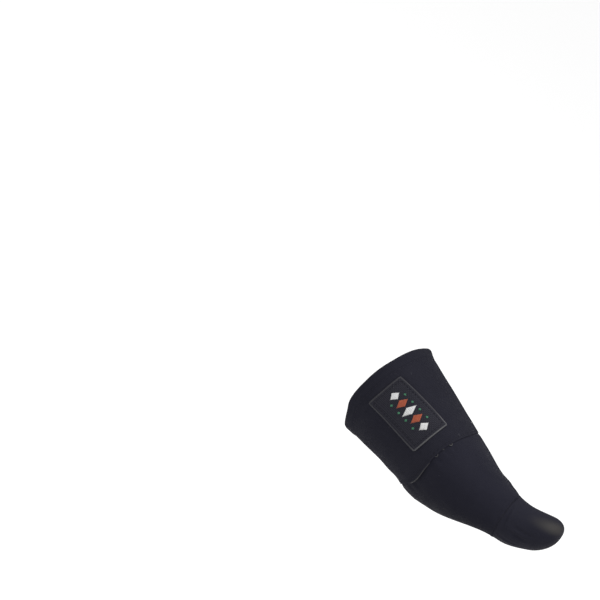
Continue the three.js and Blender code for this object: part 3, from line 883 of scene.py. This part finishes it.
def satinRuns(middleAlong, middleAcross, halfAlong, halfAcross):  # side by side threads that fill a lozenge
    radius = labelMotif["threadRadius"]
    count = round(2 * halfAlong / (1.7 * radius))
    runs = []
    for k in range(count):
        at = -halfAlong + (k + 0.5) * 2 * halfAlong / count
        reach = halfAcross * (1 - abs(at) / halfAlong) + 0.08
        t = np.linspace(-1, 1, 9)
        place, out = labelPlace(middleAlong + at + 0 * t, middleAcross + reach * t)
        rise = labelPatch["top"] + radius * (0.95 - 1.6 * np.abs(t) ** 6)
        runs.append((place + out * rise[:, None], radius * (1 - 0.35 * np.abs(t) ** 4)))
    return runs


def labelSewing():
    runs = {"whiteThread": [], "rustThread": [], "greenThread": []}
    for along, half, thread in labelMotif["lozenges"]:
        runs[thread] += satinRuns(along, 0, labelMotif["halfLength"], half)
    for along in labelMotif["dots"]:
        for side in (-1, 1):
            size = labelMotif["dotSize"]
            runs["greenThread"] += satinRuns(along, side * labelMotif["dotOff"], size, size)
    for thread, strands in runs.items():
        piece = threadTubes("labelMotif" + thread.removesuffix("Thread").capitalize(), strands)
        dress(piece, thread)


labelPiece = labelCloth()
labelEdge()
labelSewing()
print("label:", len(labelPiece.data.polygons), "faces")

# sewing
stitching = {
    "seam": {"pitch": stitchPitch, "fill": 0.72, "radius": 0.15, "rise": 0.1, "sink": 0.26},
    "hem": {"pitch": stitchPitch, "fill": 0.76, "radius": 0.15, "rise": 0.08, "sink": 0.26},
    "label": {"pitch": 2.0, "fill": 0.78, "radius": 0.14, "rise": 0.1, "sink": 0.2},
    # pale thread along the lip
    # thread along the lip, made pale as a painted highlight of the lip's edge
    "overlock": {"from": 176, "to": 211, "radius": 0.27, "rise": 0.06, "sink": 0.3, "ahead": 0.25},
    # angle, length along the seam, bow and radius of each loop, and millimetres to a degree here
    "loops": {"places": ((165, 2.9, 1.0, 0.13), (154, 1.3, 0.5, 0.13), (142, 2.7, 1.0, 0.24)),
              "rise": 0.1, "sink": 0.3, "degree": 0.58},
    "toe": {"from": 0.6, "pitch": 0.62, "reach": 1.0, "slant": 0.35,
            "radius": 0.15, "rise": 0.04, "sink": 0.15},
}


def sewing():
    seamLine = lineOnCloth(bandFace, bandFromSeam, instepBand["seamLine"])
    seamRuns = stitchRuns(seamLine, bandOut[-8], stitching["seam"])
    dress(threadTubes("crossSeamStitches", seamRuns), "seamThread")
    dress(threadTubes("seamOverlock", overlockRuns(), 8), "paleHighlightThread")
    dress(threadTubes("seamLooseLoops", looseLoopRuns(), 8), "paintedGlintThread")
    hemLine = lineOnCloth(bandFace, bandFromRear, instepBand["hemDepth"])
    hemRuns = stitchRuns(hemLine, bandOut[12], stitching["hem"])
    dress(threadTubes("rearHemStitches", hemRuns), "softThread")
    first = facets["toe"] + 4
    mouthLine = lineOnCloth(panelFace, panelFromFront, forefootPanel["hemDepth"])[first:-3]
    mouthRuns = stitchRuns(mouthLine, panelOut[-8, first:-3], stitching["hem"], closed=False)
    dress(threadTubes("frontMouthStitches", mouthRuns), "seamThread")
    along, across, _ = labelEdgePath(labelPatch["sewnAt"], 0.8, 0.3)
    place, out = labelPlace(along[:-1], across[:-1])
    labelRuns = stitchRuns(place + out * (labelPatch["top"] - 0.1), out, stitching["label"])
    dress(threadTubes("labelStitches", labelRuns), "seamThread")
    dress(threadTubes("toeSeamStitches", toeSeamRuns()), "softThread")


def seamEdge(angles):  # places on the band's front edge, with the ways forward and out
    order = np.argsort(sleeveAngles)
    grids = (bandFace[-1], unit(bandFace[-1] - bandFace[-3]), bandOut[-1])
    return [pointsAt(angles, sleeveAngles[order], grid[order]) for grid in grids]


def overlockRuns():
    spec = stitching["overlock"]
    share = np.linspace(0, 1, 70)
    place, forward, away = seamEdge(spec["from"] + (spec["to"] - spec["from"]) * share)
    ease = np.sin(np.pi * share) ** 0.5
    rise = spec["rise"] * ease - spec["sink"] * (1 - ease) + 0.09 * np.sin(share * 40) * ease
    return [(place + forward * spec["ahead"] + away * rise[:, None], spec["radius"] * (0.45 + 0.55 * ease))]


def looseLoopRuns():  # each comes out of the seam, bows over the panel and goes back in
    spec = stitching["loops"]
    share = np.linspace(0, 1, 15)
    arch = np.sin(np.pi * share)
    rise = spec["rise"] * arch - spec["sink"] * (1 - arch)
    runs = []
    for angle, length, reach, radius in spec["places"]:
        place, forward, away = seamEdge(angle + (2 * share - 1) * length / 2 / spec["degree"])
        bow = forward * (reach * arch)[:, None] + away * rise[:, None]
        runs.append((place + bow, np.full(len(share), radius)))
    return runs


def toeSeamRuns():  # short slanting stitches that cross the toe root's seam
    spec = stitching["toe"]
    columns = facets["toe"] + 1
    back = lineOnCloth(panelFace[:, :columns], panelFromFront[:, :columns], spec["reach"])
    ahead = np.array([pointsAt(spec["reach"], pocketDistances, pocketFace[:, c]) for c in range(columns)])
    run = runAlong(panelFace[-1, :columns])
    ends = ((back, -spec["slant"]), (ahead, spec["slant"]), (panelOut[-3, :columns], 0))
    runs = []
    for at in np.arange(spec["from"], run[-1] - spec["from"], spec["pitch"]):
        start, end, away = [pointsAt(at + slip, run, line) for line, slip in ends]
        t = np.linspace(0, 1, 7)[:, None]
        rise = spec["rise"] * np.sin(np.pi * t) ** 0.7 - spec["sink"] * (1 - np.sin(np.pi * t))
        runs.append((start + (end - start) * t + unit(away) * rise, np.full(7, spec["radius"])))
    return runs


sewing()
print("sewing done")

# floor, light and camera
shot = {
    "azimuth": 12, "elevation": 13, "roll": 32, "distance": 2.0, "width": 0.321,  # metres across the frame
    "center": (389.5, 390.0),  # where the origin falls in the frame, in pixels
    "sensor": 36, "frame": 600, "floor": -0.3,
}
room = {
    "middle": (0.05, 0, -0.01),  # what the lights face
    "lights": {  # metres sideways, upward and toward the camera, size in metres, power in watts
        "keyLight": (1.15, 1.65, 0.95, 1.1, 25),
        "fillLight": (-1.6, 0.3, 1.6, 1.6, 5),
    },
    "sky": {"power": 1.8, "spread": 70, "tilt": (12, 14, 0)},
    "glow": 0.5, "floorReach": 14, "paper": (0.93, 0.93, 0.93, 1), "paperRoughness": 0.9,
}


def aim():
    a, e, roll = (math.radians(shot[k]) for k in ("azimuth", "elevation", "roll"))
    back = Vector((math.sin(a) * math.cos(e), -math.cos(a) * math.cos(e), math.sin(e)))
    level = Vector((math.cos(a), math.sin(a), 0))
    upright = back.cross(level)
    right = math.cos(roll) * level + math.sin(roll) * upright
    up = -math.sin(roll) * level + math.cos(roll) * upright
    pixel, half = shot["width"] / shot["frame"], shot["frame"] / 2
    target = right * ((half - shot["center"][0]) * pixel) - up * ((half - shot["center"][1]) * pixel)
    return right, up, back, target


right, up, back, target = aim()
camera = addObject("photoCamera", bpy.data.cameras.new("photoCamera"))
camera.data.sensor_width = shot["sensor"]
camera.data.lens = shot["sensor"] * shot["distance"] / shot["width"]
camera.data.clip_end = 100
turned = Matrix((right, up, back)).transposed().to_4x4()
turned.translation = target + back * shot["distance"]
camera.matrix_world = turned
bpy.context.scene.camera = camera


def softLight(name, sideways, upward, toward, size, power):
    light = bpy.data.lights.new(name, "AREA")
    light.shape = "DISK"
    light.size = size
    light.energy = power
    lamp = addObject(name, light)
    middle = Vector(room["middle"])
    lamp.location = middle + right * sideways + up * upward + back * toward
    lamp.rotation_euler = (lamp.location - middle).to_track_quat("Z", "Y").to_euler()


for lightName, numbers in room["lights"].items():
    softLight(lightName, *numbers)

sky = addObject("skyLight", bpy.data.lights.new("skyLight", "SUN"))
sky.data.energy = room["sky"]["power"]
sky.data.angle = math.radians(room["sky"]["spread"])
sky.rotation_euler = [math.radians(a) for a in room["sky"]["tilt"]]

world = bpy.data.worlds.new("softRoom")
world.use_nodes = True
background = world.node_tree.nodes["Background"]
background.inputs["Color"].default_value = (1, 1, 1, 1)
background.inputs["Strength"].default_value = room["glow"]
bpy.context.scene.world = world
bpy.context.scene.view_settings.view_transform = "Standard"

floorMesh = bpy.data.meshes.new("floor")
far = room["floorReach"]
floorMesh.from_pydata([(-far, -far, 0), (far, -far, 0), (far, far, 0), (-far, far, 0)], [], [(0, 1, 2, 3)])
floor = addObject("floor", floorMesh)
floor.location.z = shot["floor"]
paper = bpy.data.materials.new("palePaper")
paper.use_nodes = True
paperShader = paper.node_tree.nodes["Principled BSDF"]
paperShader.inputs["Base Color"].default_value = room["paper"]
paperShader.inputs["Roughness"].default_value = room["paperRoughness"]
floorMesh.materials.append(paper)
